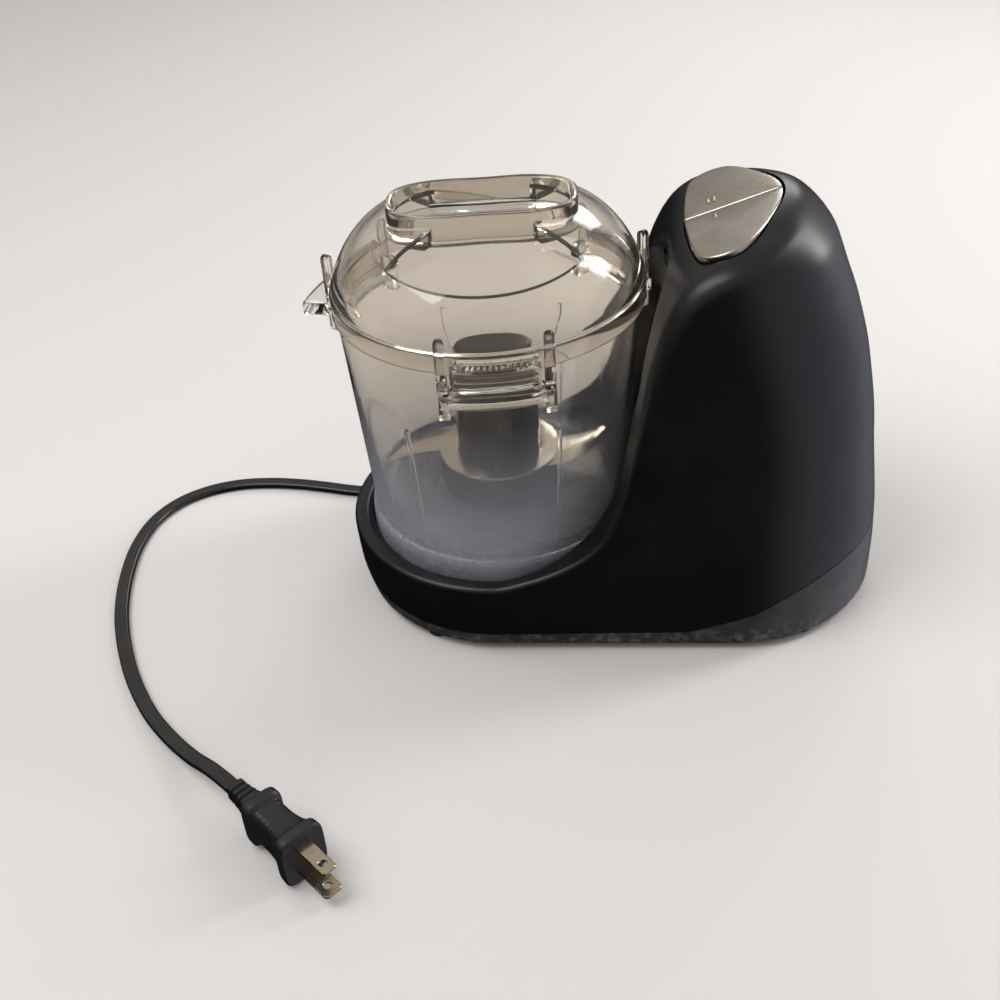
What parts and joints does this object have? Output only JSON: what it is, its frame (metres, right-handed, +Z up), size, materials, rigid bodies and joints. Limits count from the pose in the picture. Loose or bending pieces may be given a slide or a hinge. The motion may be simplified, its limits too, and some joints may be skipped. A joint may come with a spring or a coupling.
{
  "type": "mini food chopper",
  "caption": "Countertop mini chopper: a clear bowl and lid with a blade on a black base, a motor tower with a two-part button on top, and a short flat mains cord with plug.",
  "frame": {"origin": "on the table under the middle of the object, cord not counted", "axes": "+X from the bowl towards the motor tower, -Y towards the user, +Z up"},
  "size_m": [0.3623, 0.3279, 0.1897],
  "materials": {
    "housing_black": "satin black moulded plastic with a soft sheen",
    "cover_charcoal": "charcoal semi-gloss moulded plastic",
    "clear_plastic": "clear moulded plastic with a faint smoky tint, lightly scuffed",
    "hub_black": "glossy black moulded plastic",
    "blade_steel": "polished stainless steel with a ground edge",
    "button_champagne": "champagne silver plated plastic with a bright edge",
    "rubber_black": "matt black rubber",
    "cord_black": "glossy black flexible vinyl",
    "plug_nickel": "nickel-plated brass",
    "fastener_steel": "zinc-plated and turned steel",
    "bush_bronze": "sintered bronze",
    "winding_copper": "varnished copper wire",
    "core_iron": "stacked silicon-steel laminations",
    "nylon_natural": "natural nylon",
    "carbon_grey": "pressed carbon",
    "switch_black": "black moulded switch case",
    "board_green": "green circuit board"
  },
  "bodies": {
    "base": {"upper_housing": "housing_black", "base_cover": "cover_charcoal", "foot_rear_left": "rubber_black", "foot_front_left": "rubber_black", "foot_rear_right": "rubber_black", "foot_front_right": "rubber_black", "cover_screw_rear_left": "fastener_steel", "cover_screw_front_left": "fastener_steel", "cover_screw_rear_right": "fastener_steel", "cover_screw_front_right": "fastener_steel", "drive_bush_lower": "bush_bronze", "drive_bush_upper": "bush_bronze", "drive_belt": "rubber_black", "stator_core": "core_iron", "motor_bracket_lower": "fastener_steel", "motor_bracket_upper": "fastener_steel", "field_coil_left": "winding_copper", "field_coil_right": "winding_copper", "carbon_brush_left": "carbon_grey", "carbon_brush_right": "carbon_grey", "brush_holder_left": "nylon_natural", "brush_holder_right": "nylon_natural", "motor_bolt_rear": "fastener_steel", "motor_bolt_front": "fastener_steel", "button_spring_high": "fastener_steel", "button_spring_low": "fastener_steel", "switch_high": "switch_black", "switch_low": "switch_black", "switch_board": "board_green", "interlock_spring": "fastener_steel", "interlock_switch": "switch_black", "strain_relief": "rubber_black", "power_cord": "cord_black", "plug_body": "cord_black", "plug_blade_narrow": "plug_nickel", "plug_blade_wide": "plug_nickel"},
    "rotor": {"motor_shaft": "fastener_steel", "motor_pulley": "fastener_steel", "cooling_fan": "nylon_natural", "armature_core": "core_iron", "armature_winding": "winding_copper", "commutator": "winding_copper"},
    "drive": {"drive_shaft": "fastener_steel", "drive_pulley": "nylon_natural", "drive_coupling": "nylon_natural"},
    "bowl": {"bowl": "clear_plastic"},
    "lid": {"lid": "clear_plastic"},
    "blade": {"blade_hub": "hub_black", "blade_plate": "blade_steel"},
    "button_high": {"button_high": "button_champagne"},
    "button_low": {"button_low": "button_champagne"},
    "plunger": {"interlock_plunger": "nylon_natural"}
  },
  "joints": [
    {"name": "bowl_lift", "type": "slide", "parent": "base", "child": "bowl", "axis": [0, 0, 1], "range_m": [0, 0.12]},
    {"name": "lid_lift", "type": "slide", "parent": "bowl", "child": "lid", "axis": [0, 0, 1], "range_m": [0, 0.06]},
    {"name": "motor_spin", "type": "hinge", "parent": "base", "child": "rotor", "pos_m": [0.061, 0.0015, 0.06], "axis": [0, 0, 1], "continuous": true},
    {"name": "drive_spin", "type": "hinge", "parent": "base", "child": "drive", "pos_m": [-0.044, 0.0015, 0.06], "axis": [0, 0, 1], "continuous": true},
    {"name": "blade_spin", "type": "hinge", "parent": "bowl", "child": "blade", "pos_m": [-0.044, 0.0015, 0.08], "axis": [0, 0, 1], "continuous": true},
    {"name": "button_high_press", "type": "slide", "parent": "base", "child": "button_high", "axis": [0.332, 0, -0.9433], "range_m": [0, 0.002], "stiffness_N_per_m": 1500, "springref_m": -0.002, "deforming": ["button_spring_high"]},
    {"name": "button_low_press", "type": "slide", "parent": "base", "child": "button_low", "axis": [0.332, 0, -0.9433], "range_m": [0, 0.002], "stiffness_N_per_m": 1500, "springref_m": -0.002, "deforming": ["button_spring_low"]},
    {"name": "interlock_press", "type": "slide", "parent": "base", "child": "plunger", "axis": [1, 0, 0], "range_m": [0, 0.0025], "stiffness_N_per_m": 400, "springref_m": -0.003, "deforming": ["interlock_spring"]}
  ],
  "couplings": [
    {"joint": "drive_spin", "follows": "motor_spin", "ratio": 0.22222},
    {"joint": "blade_spin", "follows": "motor_spin", "ratio": 0.22222}
  ]
}
